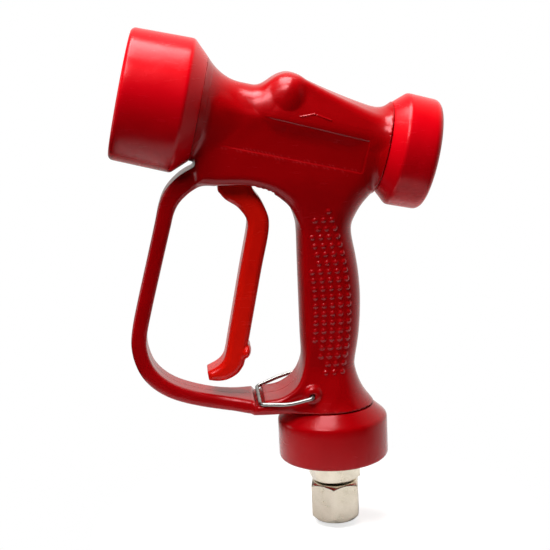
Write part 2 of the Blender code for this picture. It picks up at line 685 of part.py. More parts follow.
def hex_solid(name, low, high, ends, turn, bore, handle):
    """Hexagon with turned chamfers; ends holds each end face's radius and its chamfer's rise."""
    corner = ACROSS_FLATS / sqrt(3)
    (low_radius, low_rise), (high_radius, high_rise) = ends
    blank = turned([(0, low), (corner, low), (corner, high), (0, high)], steps=6)
    bmesh.ops.rotate(blank, verts=blank.verts, matrix=Matrix.Rotation(turn, 3, "Z"))
    nut = solid(name, blank, nickel(), handle)
    over = 0.01
    lathe = [
        (0, low - over), (low_radius, low - over), (corner + 0.2, low + low_rise),
        (corner + 0.2, high - high_rise), (high_radius, high + over), (0, high + over),
    ]
    combine(nut, "INTERSECT", helper(name + "_lathe", turned(lathe, 36), handle))
    combine(nut, "DIFFERENCE", helper(name + "_bore_cut", turned(bore, 24), handle))
    return nut


def swivel(handle):
    """Hose end: adaptor in the handle tube, nipple, turning nut, washer and strainer."""
    nut_bore = [
        (0, -20), (HOSE_THREAD_BORE + 0.5, -20), (HOSE_THREAD_BORE + 0.5, NUT_BOTTOM),
        (HOSE_THREAD_BORE, NUT_BOTTOM + 0.8), (HOSE_THREAD_BORE, 5.9), (NIPPLE_RADIUS + GAP, 5.9),
        (NIPPLE_RADIUS + GAP, 12), (0, 12),
    ]
    hex_solid("swivel_nut", NUT_BOTTOM, NUT_TOP, ((10.8, 3.2), (11.4, 1.6)), NUT_TURN, nut_bore, handle)
    low, top = NUT_TOP + 0.6, TUBE_BOTTOM - 2.4
    seat = NIPPLE_RADIUS + 0.25
    adaptor_bore = [(0, 0), (seat, 0), (seat, 20.3), (4.8, 20.3), (4.8, 60), (0, 60)]
    ends = ((10.5, 2.0), (11.9, 1.0))
    adaptor = hex_solid("swivel_adaptor", low, top, ends, ADAPTOR_TURN, adaptor_bore, handle)
    spigot = [(4.8, top - 1.0), (8.0, top - 1.0), (8.0, 41.6), (4.8, 41.6)]
    combine(adaptor, "UNION", helper("spigot_join", turned(spigot, 24), handle))
    flange = [
        (4.4, 3.4), (9.1, 3.4), (9.1, 5.6), (NIPPLE_RADIUS, 5.6), (NIPPLE_RADIUS, 11.6),
        (5.3, 11.6), (5.3, 13.8), (NIPPLE_RADIUS, 13.8), (NIPPLE_RADIUS, 20.0), (4.4, 20.0),
    ]
    solid("swivel_nipple", turned(flange, 24), nickel(), handle)
    solid("nipple_o_ring", turned(torus_profile(6.0, 0.5, 12.7), 18), black_rubber(), handle)
    solid("adaptor_washer", turned(ring_profile(8.3, 10.8, top + GAP, TUBE_BOTTOM - GAP), 24),
          white_plastic(), handle)
    solid("inlet_washer", turned(ring_profile(6.2, 9.0, 1.1, 3.1), 24), black_rubber(), handle)
    strainer = solid("inlet_strainer", turned([(0, 0), (9.0, 0), (9.0, 0.8), (0, 0.8)], 24), stainless(), handle)
    holes = []
    for i in range(8):
        angle = 2 * pi * i / 8
        hole = turned([(0, -1), (1.1, -1), (1.1, 2), (0, 2)], 8)
        holes.append(helper(f"strainer_hole_{i}", moved(hole, 4.2 * cos(angle), 4.2 * sin(angle), 0), handle))
    combine(strainer, "DIFFERENCE", *holes)


def main():
    for existing in list(bpy.data.objects):
        bpy.data.objects.remove(existing, do_unlink=True)
    made = frames()
    handle, barrel = made["handle_frame"], made["barrel_frame"]
    body_cover(handle, barrel)
    valve_body(handle, barrel)
    nozzle(barrel)
    bumpers(barrel, handle)
    rear_plug(barrel)
    valve_stem(barrel)
    return_spring(barrel)
    pivot_parts(barrel)
    trigger_lever(barrel)
    latch_wire(handle)
    swivel(handle)


main()
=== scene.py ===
"""Looks of the pistol-grip hose nozzle: moulded red cover, bumpers, trigger, latch wire and hose swivel.

The moulded pieces are drawn as signed distances in millimetres (negative inside), blended with
round fillets, and meshed where the distance is zero. Barrel coordinates are used for everything on
the barrel: s runs forward along its axis, n is up and square to it, and both are zero where the
barrel's axis crosses the handle's.
"""

import json
from math import cos, pi, radians, sin

import bmesh
import bpy
import numpy as np
from mathutils import Matrix, Vector


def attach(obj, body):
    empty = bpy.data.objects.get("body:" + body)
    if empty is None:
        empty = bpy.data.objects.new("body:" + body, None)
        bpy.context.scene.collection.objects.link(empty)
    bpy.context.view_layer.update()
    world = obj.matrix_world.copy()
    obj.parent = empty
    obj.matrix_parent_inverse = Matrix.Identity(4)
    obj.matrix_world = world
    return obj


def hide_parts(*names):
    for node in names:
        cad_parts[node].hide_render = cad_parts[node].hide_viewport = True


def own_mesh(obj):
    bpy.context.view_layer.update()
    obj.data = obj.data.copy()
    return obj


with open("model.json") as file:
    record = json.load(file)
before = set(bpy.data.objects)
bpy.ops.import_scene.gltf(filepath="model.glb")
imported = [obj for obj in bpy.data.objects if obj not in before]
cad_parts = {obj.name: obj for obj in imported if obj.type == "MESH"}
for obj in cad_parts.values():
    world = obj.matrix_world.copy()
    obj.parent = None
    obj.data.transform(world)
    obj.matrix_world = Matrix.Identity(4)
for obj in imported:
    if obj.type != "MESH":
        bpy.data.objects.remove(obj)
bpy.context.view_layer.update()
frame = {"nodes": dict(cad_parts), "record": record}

MM = 0.001

# Barrel and handle, with the bores that the moving parts run in.
BARREL_TILT = radians(14.2)
BARREL_HEIGHT = 189.6
BORE_RADIUS = 12.3
MOUTH_RADIUS = 14.3
MOUTH_START = 58.5
HANDLE_BORE_RADIUS = 9.8

# Moulded cover over them.
COVER_BOTTOM = 50.0
COVER_FRONT = 62.6
COVER_REAR = -31.0
NECK_RADIUS = 17.1
NECK_FRONT = 47.0
REAR_SEAM_RADIUS = 22.4
FRONT_SEAM_RADIUS = 25.8
FLARE_START = 44.0
FLARE_END = -17.0

# Trigger, the shaft it turns with, and the room they need inside the cover.
PIVOT_ALONG = 20.8
PIVOT_UP = 16.5
HUB_RADIUS = 6.2
ARM_INNER = 10.9
ARM_OUTER = 13.0
BLADE_HALF_WIDTH = 9.5
SHAFT_HOLE_RADIUS = 3.6
HUB_ROOM_RADIUS = 6.9
WELL_HALF_WIDTH = 13.3
CLIP_ROOM_RADIUS = 5.7
CLIP_ROOM_END = 14.3
SHAFT_ROOM_RADIUS = 3.8
SHAFT_ROOM_END = 15.3

# Return spring: its ends along the barrel.
SPRING_REAR = -27.7
SPRING_FRONT = -8.3

# Latch wire: its pivot line, which climbs by LATCH_SLOPE across the handle, and its front bar.
LATCH_X = -11.5
LATCH_FRONT_X = -38.0
LATCH_WIRE_RADIUS = 1.0
LATCH_HOLE_RADIUS = 1.3
LATCH_HEIGHT = 61.15
LATCH_REACH = 20.3
LATCH_SLOPE = 4.7 / (2 * LATCH_REACH)

# Hose fitting: the way a corner of each hexagon points, their width, and the nut's thread.
NUT_TURN = radians(20.7)
ADAPTOR_TURN = radians(39.3)
ACROSS_FLATS = 24.0
THREAD_PITCH = 1.814
THREAD_CREST = 9.5


# ---------------------------------------------------------------- distance fields

def to_barrel(x, z):
    """Barrel coordinates (s, n) of a point."""
    rise = z - BARREL_HEIGHT
    return (-x * cos(BARREL_TILT) + rise * sin(BARREL_TILT),
            x * sin(BARREL_TILT) + rise * cos(BARREL_TILT))


def from_barrel(s, n):
    """Place (x, z) of barrel coordinates."""
    return (-s * cos(BARREL_TILT) + n * sin(BARREL_TILT),
            BARREL_HEIGHT + s * sin(BARREL_TILT) + n * cos(BARREL_TILT))


def from_pivot(s, n):
    """Distance from the trigger's axis."""
    return np.hypot(s - PIVOT_ALONG, n - PIVOT_UP)


def ramp(value, start, end):
    """Smooth step from 0 at start to 1 at end."""
    t = np.clip((value - start) / (end - start), 0.0, 1.0)
    return t * t * (3 - 2 * t)


def both(a, b, radius):
    """The overlap of two fields, its edge rounded to a radius."""
    return np.minimum(np.maximum(a, b), -radius) + np.hypot(
        np.maximum(a + radius, 0), np.maximum(b + radius, 0))


def either(a, b, radius):
    """The union of two fields, with a fillet of a radius in the corner between them."""
    return -both(-a, -b, radius)


def without(a, b, radius):
    """The first field with the second cut away, the cut's edge rounded to a radius."""
    return both(a, -b, radius)


def smooth_curve(points, steps=5):
    """Catmull-Rom curve through points of any one length."""
    ends = np.array([points[0], *points, points[-1]], float)
    curve = []
    for p, q, r, s in zip(ends, ends[1:], ends[2:], ends[3:]):
        for t in np.arange(steps) / steps:
            curve.append(0.5 * (2 * q + (r - p) * t + (2 * p - 5 * q + 4 * r - s) * t * t
                                + (3 * q - p - 3 * r + s) * t ** 3))
    curve.append(ends[-1])
    return np.array(curve)


def near_path(x, z, path):
    """Distance in the XZ plane to a path of (x, z, values...), and the values at the nearest point."""
    best = np.full(np.broadcast(x, z).shape, 1e9)
    found = [np.zeros_like(best) for _ in range(path.shape[1] - 2)]
    for start, end in zip(path, path[1:]):
        dx, dz = end[0] - start[0], end[1] - start[1]
        t = np.clip(((x - start[0]) * dx + (z - start[1]) * dz) / (dx * dx + dz * dz + 1e-12), 0, 1)
        gap = np.hypot(x - start[0] - t * dx, z - start[1] - t * dz)
        closer = gap < best
        best = np.where(closer, gap, best)
        for i, value in enumerate(found):
            found[i] = np.where(closer, start[2 + i] + t * (end[2 + i] - start[2 + i]), value)
    return best, found


def outline_distance(x, z, outline):
    """Signed distance in the XZ plane to a closed outline."""
    closed = np.vstack([outline, outline[:1]])
    gap, _ = near_path(x, z, closed)
    inside = np.zeros(np.broadcast(x, z).shape, bool)
    for (x0, z0), (x1, z1) in zip(closed, closed[1:]):
        if z0 == z1:
            continue
        crosses = (z0 <= z) != (z1 <= z)
        inside ^= crosses & (x < x0 + (z - z0) * (x1 - x0) / (z1 - z0))
    return np.where(inside, -gap, gap)


def strap(x, y, z, path, edge):
    """A bar along a path of (x, z, half thickness, half width) with rounded edges."""
    gap, (thick, wide) = near_path(x, z, path)
    return both(gap - thick, np.abs(y) - wide, edge)


# ---------------------------------------------------------------- moulded cover

def plate_outline():
    """Side view of barrel block, grip and pad: arch, grip front, pad top, foot, and grip back."""
    arch = [from_barrel(s, n) for s, n in (
        (58.0, -35.9), (46.0, -34.3), (36.0, -32.3), (28.5, -31.6), (19.5, -32.8), (13.5, -35.2),
        (8.6, -38.6))]
    front = smooth_curve(arch + [
        (-15.4, 147.0), (-15.0, 141.0), (-15.1, 128.0), (-15.2, 108.0), (-15.2, 88.0), (-15.0, 79.0),
        (-15.4, 72.8), (-16.7, 67.6), (-18.8, 63.9), (-22.0, 61.0), (-26.4, 58.6), (-31.0, 57.2),
        (-36.0, 56.5), (-41.5, 56.3)])
    foot = np.array([(-41.5, 50.4), (-20.0, COVER_BOTTOM), (12.0, COVER_BOTTOM)])
    seam = [from_barrel(s, n) for s, n in (
        (-24.5, -36.5), (-26.4, -30.4), (-29.0, -25.4), (COVER_REAR, -22.4))]
    back = smooth_curve([
        (12.0, 71.0), (12.8, 76.0), (14.0, 82.0), (15.2, 90.0), (16.0, 100.0), (16.2, 110.0),
        (15.6, 120.0), (14.4, 129.0), (12.9, 138.0), (12.9, 143.5), *seam])
    top = np.array([from_barrel(COVER_REAR, 8.0), from_barrel(59.5, 8.0), from_barrel(59.5, -30.0)])
    return np.vstack([front, foot, back, top])


PLATE = plate_outline()

# Trigger guard from the barrel round to the pad: (x, z, half thickness, half width).
GUARD = smooth_curve([
    (-52.0, 174.8, 4.8, 13.0), (-61.0, 173.4, 4.8, 12.6), (-69.0, 169.7, 4.9, 11.8),
    (-75.6, 163.8, 4.7, 10.8), (-79.3, 157.0, 4.2, 10.2), (-82.0, 147.6, 4.0, 10.0),
    (-87.9, 127.0, 3.9, 10.0), (-93.3, 108.0, 3.9, 10.0), (-96.8, 94.0, 3.9, 10.0),
    (-97.1, 85.0, 3.9, 10.0), (-94.6, 76.2, 3.9, 10.0), (-90.0, 69.6, 3.9, 10.0),
    (-83.5, 64.5, 3.8, 10.0), (-76.0, 61.0, 3.7, 10.0), (-67.0, 58.2, 3.6, 10.0),
    (-58.0, 56.2, 3.6, 10.2), (-50.0, 55.0, 3.6, 11.6), (-43.5, 54.2, 3.6, 14.4),
    (-36.0, 53.8, 3.6, 16.0), (-24.0, 53.8, 3.6, 16.2)])

# Side view of the well that the trigger swings in.
SWING = np.array([from_barrel(s, n) for s, n in (
    (13.5, PIVOT_UP), (12.8, 4.0), (13.7, 0.0), (16.4, -14.0), (18.4, -24.0), (18.4, -60.0),
    (47.2, -60.0), (47.2, -28.0), (45.4, -11.8), (37.6, -2.6), (31.8, 5.2), (28.2, PIVOT_UP))])


def skin_radius(s):
    """Radius of the barrel's turned skin, waisted at the neck and flared to both seams."""
    front = np.maximum(s - FLARE_START, 0) / (COVER_FRONT - FLARE_START)
    rear = np.maximum(FLARE_END - s, 0) / (FLARE_END - COVER_REAR)
    return (NECK_RADIUS + (FRONT_SEAM_RADIUS - NECK_RADIUS) * front ** 2.2
            + (REAR_SEAM_RADIUS - NECK_RADIUS) * rear ** 3.0)


def neck_swell(s, y, rho):
    """How far the neck's sides swell out as they run back to the hump."""
    most = 4.0
    swell = np.minimum(0.02 * np.maximum(NECK_FRONT - s, 0) ** 2, most) * ramp(s, 20.0, 30.0)
    return swell * (y / np.maximum(rho, 1.0)) ** 2


def skin_field(s, y, rho):
    """Turned skin of the barrel between its two seams."""
    widest = 17.0
    skin = rho - skin_radius(s)
    swollen = both(skin - neck_swell(s, y, rho), np.abs(y) - widest, 5.0)
    skin = np.where(s < NECK_FRONT, np.minimum(skin, swollen), skin) * 0.8
    return both(skin, np.maximum(COVER_REAR - s, s - COVER_FRONT), 0.4)


def block(x, y, z, s, n, rho):
    """Slab-sided block under the barrel, grip and pad, its edges rounded as the mould rounds them."""
    side = outline_distance(x, z, PLATE)
    half_width = 13.9 + 3.3 * ramp(z, 138.0, 172.0) + 2.3 * ramp(z, 74.0, 60.0)
    nose = 3.0 * (np.abs(y) / 13.5) ** 2
    on_grip = ramp(z, 156.0, 138.0) * ramp(z, 64.0, 88.0)
    side = side + nose * on_grip * ramp(x, -2.0, -9.0)
    front_edge, back_edge = 1.7 + 4.3 * ramp(z, 138.0, 162.0), 12.0
    edge = front_edge + (back_edge - front_edge) * ramp(x, -8.0, 5.0)
    slab = both(side, np.abs(y) - half_width, edge)
    rear_limit = (rho - (REAR_SEAM_RADIUS + 1.5 * (s - COVER_REAR))) * 0.55
    rear_limit = rear_limit - 12.0 * ramp(-n, 20.0, 34.0) - 200.0 * ramp(-n, 32.0, 50.0)
    return both(slab, rear_limit, 4.0)


def hump(s, n, y):
    """Saddle over the trigger's shaft with a dome at each end, and the long fairing behind it."""
    along = s - PIVOT_ALONG
    half_width = np.minimum(14.7 + 0.12 * (22.0 - n), 16.4)
    flank = (np.abs(y) - half_width) * 0.98
    saddle_radius, dome_radius, dome_reach = 9.6, 7.9, 18.5
    over = n - 17.0
    crown = np.hypot(along - 0.6, np.minimum(over, 0) * 0.3 + np.maximum(over, 0)) - saddle_radius
    saddle = both(crown, flank, 7.0)
    slope = radians(17.2)
    top = (n - 26.6) * cos(slope) - (s - 20.0) * sin(slope)
    fairing = both(both(top, along, 5.0), flank, 3.2)
    body = np.maximum(either(saddle, fairing, 2.0), -8.0 - n)
    swell = np.hypot(along - 0.2, 0.88 * (n - 16.1)) - dome_radius
    return either(body, both(swell, np.abs(y) - dome_reach, 7.4), 2.2)


def latch_bosses(x, y, z):
    """Domed bosses that take the ends of the latch wire, one each side of the foot."""
    radius, reach = 4.6, 18.7
    height = LATCH_HEIGHT + LATCH_SLOPE * LATCH_REACH * np.sign(y) + 0.9
    return both(np.hypot(x - LATCH_X - 0.6, z - height) - radius, np.abs(y) - reach, 2.6)


def foot_flare(x, y, z):
    """Cone that widens the grip's foot to meet the collar."""
    cone = (np.hypot(x, y) - 21.4 + 0.75 * (z - COVER_BOTTOM - 0.6)) * 0.8
    return np.maximum(cone, COVER_BOTTOM - z)


def bumper_space(s, rho):
    """Room for the front bumper, which overhangs the cover's front."""
    ahead = s - COVER_FRONT
    return np.maximum(-ahead, (rho - 26.3 - np.maximum(ahead, 0)) * 0.7)


def works(x, y, z, s, n, rho):
    """The hollow inside: barrel bore, handle bore, trigger well, pivot ends and latch holes."""
    across = np.abs(y)
    bore = rho - np.where(s > MOUTH_START, MOUTH_RADIUS, BORE_RADIUS)
    tube = np.maximum(np.hypot(x, y) - HANDLE_BORE_RADIUS, z - BARREL_HEIGHT)
    hub_room = from_pivot(s, n) - HUB_ROOM_RADIUS
    well = np.maximum(np.minimum(outline_distance(x, z, SWING), hub_room), across - WELL_HALF_WIDTH)
    end_radius = np.where(across < CLIP_ROOM_END, CLIP_ROOM_RADIUS, SHAFT_ROOM_RADIUS)
    pivot = np.maximum(from_pivot(s, n) - end_radius, across - SHAFT_ROOM_END)
    latch = np.hypot(x - LATCH_X, z - LATCH_HEIGHT - LATCH_SLOPE * y) - LATCH_HOLE_RADIUS
    return np.minimum(np.minimum(np.minimum(bore, tube), np.minimum(well, pivot)), latch)


def notch(x, z):
    """Cross groove in the pad that the latch wire rests in."""
    rise = z - 54.9
    width = np.abs(x - LATCH_FRONT_X) - 1.7 - 0.45 * np.clip(rise, 0, 4)
    return np.maximum(width, np.maximum(-rise, rise - 10.0))


def cover_field(x, y, z):
    """The whole moulded cover: its parts joined with fillets, then its ends and hollows cut."""
    s, n = to_barrel(x, z)
    rho = np.hypot(n, y)
    flare_blend = 0.4 + 4.5 * np.maximum(ramp(s, 40.0, 54.0), ramp(s, -12.0, -26.0))
    shape = either(skin_field(s, y, rho), block(x, y, z, s, n, rho), flare_blend)
    shape = either(shape, hump(s, n, y), 1.0 + 7.0 * ramp(n, -6.0, 6.0))
    shape = either(shape, strap(x, y, z, GUARD, 2.6), 1.6)
    shape = either(shape, foot_flare(x, y, z), 6.5)
    shape = either(shape, latch_bosses(x, y, z), 1.0)
    behind = COVER_REAR - s - 200.0 * ramp(-n, 23.5, 32.0)
    ends = np.maximum(np.maximum(behind, COVER_BOTTOM - z), -bumper_space(s, rho))
    shape = both(shape, ends, 0.5)
    shape = without(shape, notch(x, z), 0.5)
    return without(shape, works(x, y, z, s, n, rho), 0.4)


# ---------------------------------------------------------------- meshing

# Corners of a grid cell, and its edges as pairs of corners.
CORNERS = np.array([(i, j, k) for i in (0, 1) for j in (0, 1) for k in (0, 1)])
EDGES = [(a, b) for a in range(8) for b in range(a + 1, 8)
         if np.abs(CORNERS[a] - CORNERS[b]).sum() == 1]


def slope_of(field, points, reach=0.05):
    """Gradient of the field at points."""
    parts = []
    for axis in range(3):
        shift = np.zeros(3)
        shift[axis] = reach
        ahead, behind = points + shift, points - shift
        parts.append((field(*ahead.T) - field(*behind.T)) / (2 * reach))
    return np.stack(parts, axis=1)


def settle(field, points, rounds=2):
    """Pull points on to the surface of the field; gives the points and the outward directions."""
    longest = 0.4
    for _ in range(rounds):
        slope = slope_of(field, points)
        size = np.maximum((slope ** 2).sum(1), 0.1)
        step = (field(*points.T) / size)[:, None] * slope
        reach = np.linalg.norm(step, axis=1, keepdims=True)
        points = points - step * np.minimum(1.0, longest / np.maximum(reach, 1e-9))
    slope = slope_of(field, points)
    return points, slope / np.maximum(np.linalg.norm(slope, axis=1, keepdims=True), 1e-9)


def crossed_points(value, cells, low, step):
    """One point in each crossed cell, at the mean of the crossings on the cell's edges."""
    at = [value[tuple((cells + corner).T)] for corner in CORNERS]
    total = np.zeros((len(cells), 3))
    hits = np.zeros(len(cells))
    for a, b in EDGES:
        crossed = (at[a] < 0) != (at[b] < 0)
        share = np.where(crossed, at[a] / np.where(crossed, at[a] - at[b], 1), 0)
        spot = CORNERS[a] + share[:, None] * (CORNERS[b] - CORNERS[a])
        total += spot * crossed[:, None]
        hits += crossed
    return low + (cells + total / hits[:, None]) * step


def crossed_quads(inside, number):
    """A quad round each grid edge that the surface crosses, through the points of the cells there."""
    quads = []
    for axis in range(3):
        first, second = [a for a in range(3) if a != axis]
        change = np.argwhere(np.diff(inside, axis=axis))
        keep = (change[:, first] > 0) & (change[:, second] > 0)
        keep &= (change[:, first] < number.shape[first]) & (change[:, second] < number.shape[second])
        change = change[keep]
        ring = []
        for back_first, back_second in ((1, 1), (0, 1), (0, 0), (1, 0)):
            cell = change.copy()
            cell[:, first] -= back_first
            cell[:, second] -= back_second
            ring.append(number[tuple(cell.T)])
        ring = np.stack(ring, axis=1)
        outward = inside[tuple(change.T)]
        if axis == 1:
            outward = ~outward
        quads.append(np.where(outward[:, None], ring, ring[:, ::-1]))
    return np.vstack(quads)


def surface_net(field, low, high, step):
    """Points and quads of the surface where the field is zero, one point to each crossed cell."""
    axes = [np.arange(a, b + step, step) for a, b in zip(low, high)]
    value = field(axes[0][:, None, None], axes[1][None, :, None], axes[2][None, None, :])
    inside = value < 0
    wide, deep, tall = (n - 1 for n in value.shape)
    count = sum(inside[i:i + wide, j:j + deep, k:k + tall].astype(np.int8) for i, j, k in CORNERS)
    mixed = (count > 0) & (count < len(CORNERS))
    number = np.full(mixed.shape, -1)
    number[mixed] = np.arange(mixed.sum())
    points = crossed_points(value, np.argwhere(mixed), np.array(low, float), step)
    return points, crossed_quads(inside, number)


def new_piece(name, points, faces, material, body, node):
    """A smooth-shaded object from points in millimetres, riding on a body in place of a CAD node."""
    data = bpy.data.meshes.new(name)
    data.from_pydata((np.asarray(points) * MM).tolist(), [], [list(face) for face in faces])
    data.update()
    data.shade_smooth()
    data.materials.append(material)
    piece = bpy.data.objects.new(name, data)
    bpy.context.scene.collection.objects.link(piece)
    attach(piece, body)
    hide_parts(node)
    return piece


def fix_outward(piece):
    """Turn the piece's faces to point out of it."""
    mesh = bmesh.new()
    mesh.from_mesh(piece.data)
    bmesh.ops.recalc_face_normals(mesh, faces=mesh.faces)
    mesh.to_mesh(piece.data)
    mesh.free()


def filleted(outline, steps=5):
    """A closed outline of (radius, height, fillet) with its corners turned into arcs."""
    smooth = []
    for before, here, after in zip(outline[-1:] + outline[:-1], outline, outline[1:] + outline[:1]):
        corner = Vector(here[:2])
        back = Vector(before[:2]) - corner
        ahead = Vector(after[:2]) - corner
        if not here[2]:
            smooth.append(tuple(corner))
            continue
        angle = back.angle(ahead)
        reach = min(here[2] / max(1e-6, np.tan(angle / 2)), 0.48 * back.length, 0.48 * ahead.length)
        start = corner + back.normalized() * reach
        end = corner + ahead.normalized() * reach
        weight = sin(angle / 2)
        for i in range(steps + 1):
            t = i / steps
            shares = ((1 - t) ** 2, 2 * t * (1 - t) * weight, t * t)
            total = sum(shares)
            smooth.append(tuple((start * shares[0] + corner * shares[1] + end * shares[2]) / total))
    return smooth


def cut_up(outline, longest):
    """The closed outline with its long sides split, so that its surface is evenly meshed."""
    split = []
    for here, after in zip(outline, outline[1:] + outline[:1]):
        pieces = max(1, int(np.hypot(after[0] - here[0], after[1] - here[1]) / longest))
        start, reach = np.array(here), np.array(after) - np.array(here)
        split += [tuple(start + reach * i / pieces) for i in range(pieces)]
    return split


def revolve(outline, along_barrel, segments):
    """Points and faces of a turned solid from a closed outline of (radius, height)."""
    angles = 2 * pi * np.arange(segments) / segments
    points, faces, rings = [], [], []
    for radius, height in outline:
        count = segments if radius > 1e-6 else 1
        rings.append([len(points) + i % count for i in range(segments)])
        for a in angles[:count]:
            side = radius * cos(a)
            x, z = from_barrel(height, side) if along_barrel else (side, height)
            points.append((x, radius * sin(a), z))
    for low, high in zip(rings, rings[1:] + rings[:1]):
        for i in range(segments):
            j = (i + 1) % segments
            face = list(dict.fromkeys((low[i], low[j], high[j], high[i])))
            if len(face) > 2:
                faces.append(face)
    return points, faces


def lathe(name, outline, material, body, node, along_barrel=False, segments=112):
    """A turned piece from a closed outline of (radius, height)."""
    points, faces = revolve(outline, along_barrel, segments)
    fix_outward(new_piece(name, points, faces, material, body, node))


def bent(path, reach, steps=7):
    """The path with each inner corner bent round."""
    smooth = [path[0]]
    for before, here, after, bend in zip(path, path[1:], path[2:], reach):
        start = here + (before - here).normalized() * bend
        end = here + (after - here).normalized() * bend
        for i in range(steps + 1):
            t = i / steps
            smooth.append(start * (1 - t) ** 2 + here * (2 * t * (1 - t)) + end * t * t)
    return smooth + [path[-1]]


def wire_tube(name, path, radius, material, body, node, sides=20):
    """Round wire along a path in millimetres, cut square at its ends."""
    spots = [Vector(p) for p in path]
    normal = (spots[1] - spots[0]).orthogonal()
    points, faces = [], []
    for i, spot in enumerate(spots):
        along = (spots[min(i + 1, len(spots) - 1)] - spots[max(i - 1, 0)]).normalized()
        normal = (normal - along * normal.dot(along)).normalized()
        other = along.cross(normal)
        for k in range(sides):
            a = 2 * pi * k / sides
            points.append(tuple(spot + (normal * cos(a) + other * sin(a)) * radius))
    for i in range(len(spots) - 1):
        for k in range(sides):
            j = (k + 1) % sides
            faces.append((i * sides + k, i * sides + j, (i + 1) * sides + j, (i + 1) * sides + k))
    faces.append(tuple(range(sides))[::-1])
    faces.append(tuple(range((len(spots) - 1) * sides, len(spots) * sides)))
    return new_piece(name, points, faces, material, body, node)


# ---------------------------------------------------------------- materials

class Recipe:
    """A node material under construction: a Principled shader and short ways to wire nodes to it."""

    def __init__(self, name, roughness, metallic=0.0):
        self.material = bpy.data.materials.new(name)
        self.material.use_nodes = True
        self.tree = self.material.node_tree
        self.shader = self.tree.nodes["Principled BSDF"]
        self.shader.inputs["Roughness"].default_value = roughness
        self.shader.inputs["Metallic"].default_value = metallic
        self.place = self.add("ShaderNodeTexCoord").outputs["Object"]
        self.normal = None

    def add(self, kind, inputs=(), **settings):
        """A new node, each input linked to a socket or set to a value."""
        node = self.tree.nodes.new(kind)
        for key, value in settings.items():
            setattr(node, key, value)
        for key, value in dict(inputs).items():
            if isinstance(value, bpy.types.NodeSocket):
                self.tree.links.new(value, node.inputs[key])
            else:
                node.inputs[key].default_value = value
        return node

    def link(self, value, key):
        self.tree.links.new(value, self.shader.inputs[key])

    def noise(self, scale, detail=3.0, roughness=0.55, stretch=(1, 1, 1)):
        """Noise over the object's own space, its scale in cycles a metre."""
        spot = self.add("ShaderNodeVectorMath", {0: self.place, 1: stretch}, operation="MULTIPLY")
        return self.add("ShaderNodeTexNoise", {
            "Vector": spot.outputs[0], "Scale": scale, "Detail": detail, "Roughness": roughness,
        }).outputs["Fac"]

    def spread(self, value, low, high, start=0.3, end=0.7):
        """The value's range from start to end, carried to low to high."""
        return self.add("ShaderNodeMapRange", {
            "Value": value, "From Min": start, "From Max": end, "To Min": low, "To Max": high}).outputs[0]

    def blend(self, factor, first, second):
        """A colour between two colours."""
        node = self.add("ShaderNodeMix", data_type="RGBA")
        for index, value in ((0, factor), (6, first), (7, second)):
            if isinstance(value, bpy.types.NodeSocket):
                self.tree.links.new(value, node.inputs[index])
            else:
                node.inputs[index].default_value = value if index == 0 else (*value, 1)
        return node.outputs[2]

    def bump(self, height, distance, strength):
        """Raise the surface by distance metres at height 1, on top of the bumps already there."""
        inputs = {"Height": height, "Distance": distance, "Strength": strength}
        if self.normal:
            inputs["Normal"] = self.normal
        self.normal = self.add("ShaderNodeBump", inputs).outputs[0]
        self.link(self.normal, "Normal")

    def math(self, kind, first, second=0.0):
        return self.add("ShaderNodeMath", {0: first, 1: second}, operation=kind).outputs[0]


SHEEN_TINT = (1.0, 0.42, 0.45, 1.0)
RUBBED_RED = (0.70, 0.05, 0.055)
PARTING_HALF_WIDTH = 0.00045
PARTING_HEIGHT = 0.00016


def red_mould(name, colour, deep, gloss, shine=0.62, parting=False):
    """Moulded red rubber: fine satin grain, slow colour drift, rubbed edges and a few scuffs."""
    look = Recipe(name, gloss)
    look.shader.inputs["Specular IOR Level"].default_value = shine
    look.shader.inputs["Specular Tint"].default_value = SHEEN_TINT
    drift = look.noise(38.0, 4.0)
    base = look.blend(look.spread(drift, 0.0, 1.0), deep, colour)
    edges = look.add("ShaderNodeNewGeometry").outputs["Pointiness"]
    base = look.blend(look.spread(edges, 0.0, 0.22, 0.52, 0.62), base, RUBBED_RED)
    look.link(base, "Base Color")
    scuffs = look.noise(70.0, 6.0, 0.75, stretch=(1.0, 1.0, 5.0))
    sheen = look.spread(drift, gloss - 0.03, gloss + 0.05)
    look.link(look.math("ADD", sheen, look.spread(scuffs, 0.0, 0.10, 0.56, 0.72)), "Roughness")
    look.bump(look.noise(60.0, 2.0), 0.00035, 0.5)
    look.bump(look.noise(420.0, 5.0, 0.7), 0.00006, 0.5)
    look.bump(look.noise(1500.0, 2.0), 0.000016, 0.6)
    look.bump(look.spread(scuffs, 0.0, 1.0, 0.60, 0.75), 0.00002, 0.6)
    if parting:
        side = look.add("ShaderNodeSeparateXYZ", {0: look.place}).outputs["Y"]
        ridge = look.spread(look.math("ABSOLUTE", side), 1.0, 0.0, 0.0, PARTING_HALF_WIDTH)
        look.bump(ridge, PARTING_HEIGHT, 0.8)
    return look.material


def plated(name, bright, dull, gloss):
    """Plated or polished metal: faint turning marks and the haze of handling."""
    look = Recipe(name, gloss, 1.0)
    haze = look.noise(90.0, 5.0, 0.65)
    base = look.blend(look.spread(haze, 0.0, 1.0, 0.35, 0.75), bright, dull)
    look.link(base, "Base Color")
    marks = look.noise(240.0, 3.0, 0.6, stretch=(1.0, 1.0, 14.0))
    worn = look.spread(haze, gloss - 0.04, gloss + 0.10)
    look.link(look.math("ADD", worn, look.spread(marks, 0.0, 0.06)), "Roughness")
    look.bump(marks, 0.000012, 0.6)
    look.bump(look.noise(35.0, 2.0), 0.0001, 0.3)
    return look.material


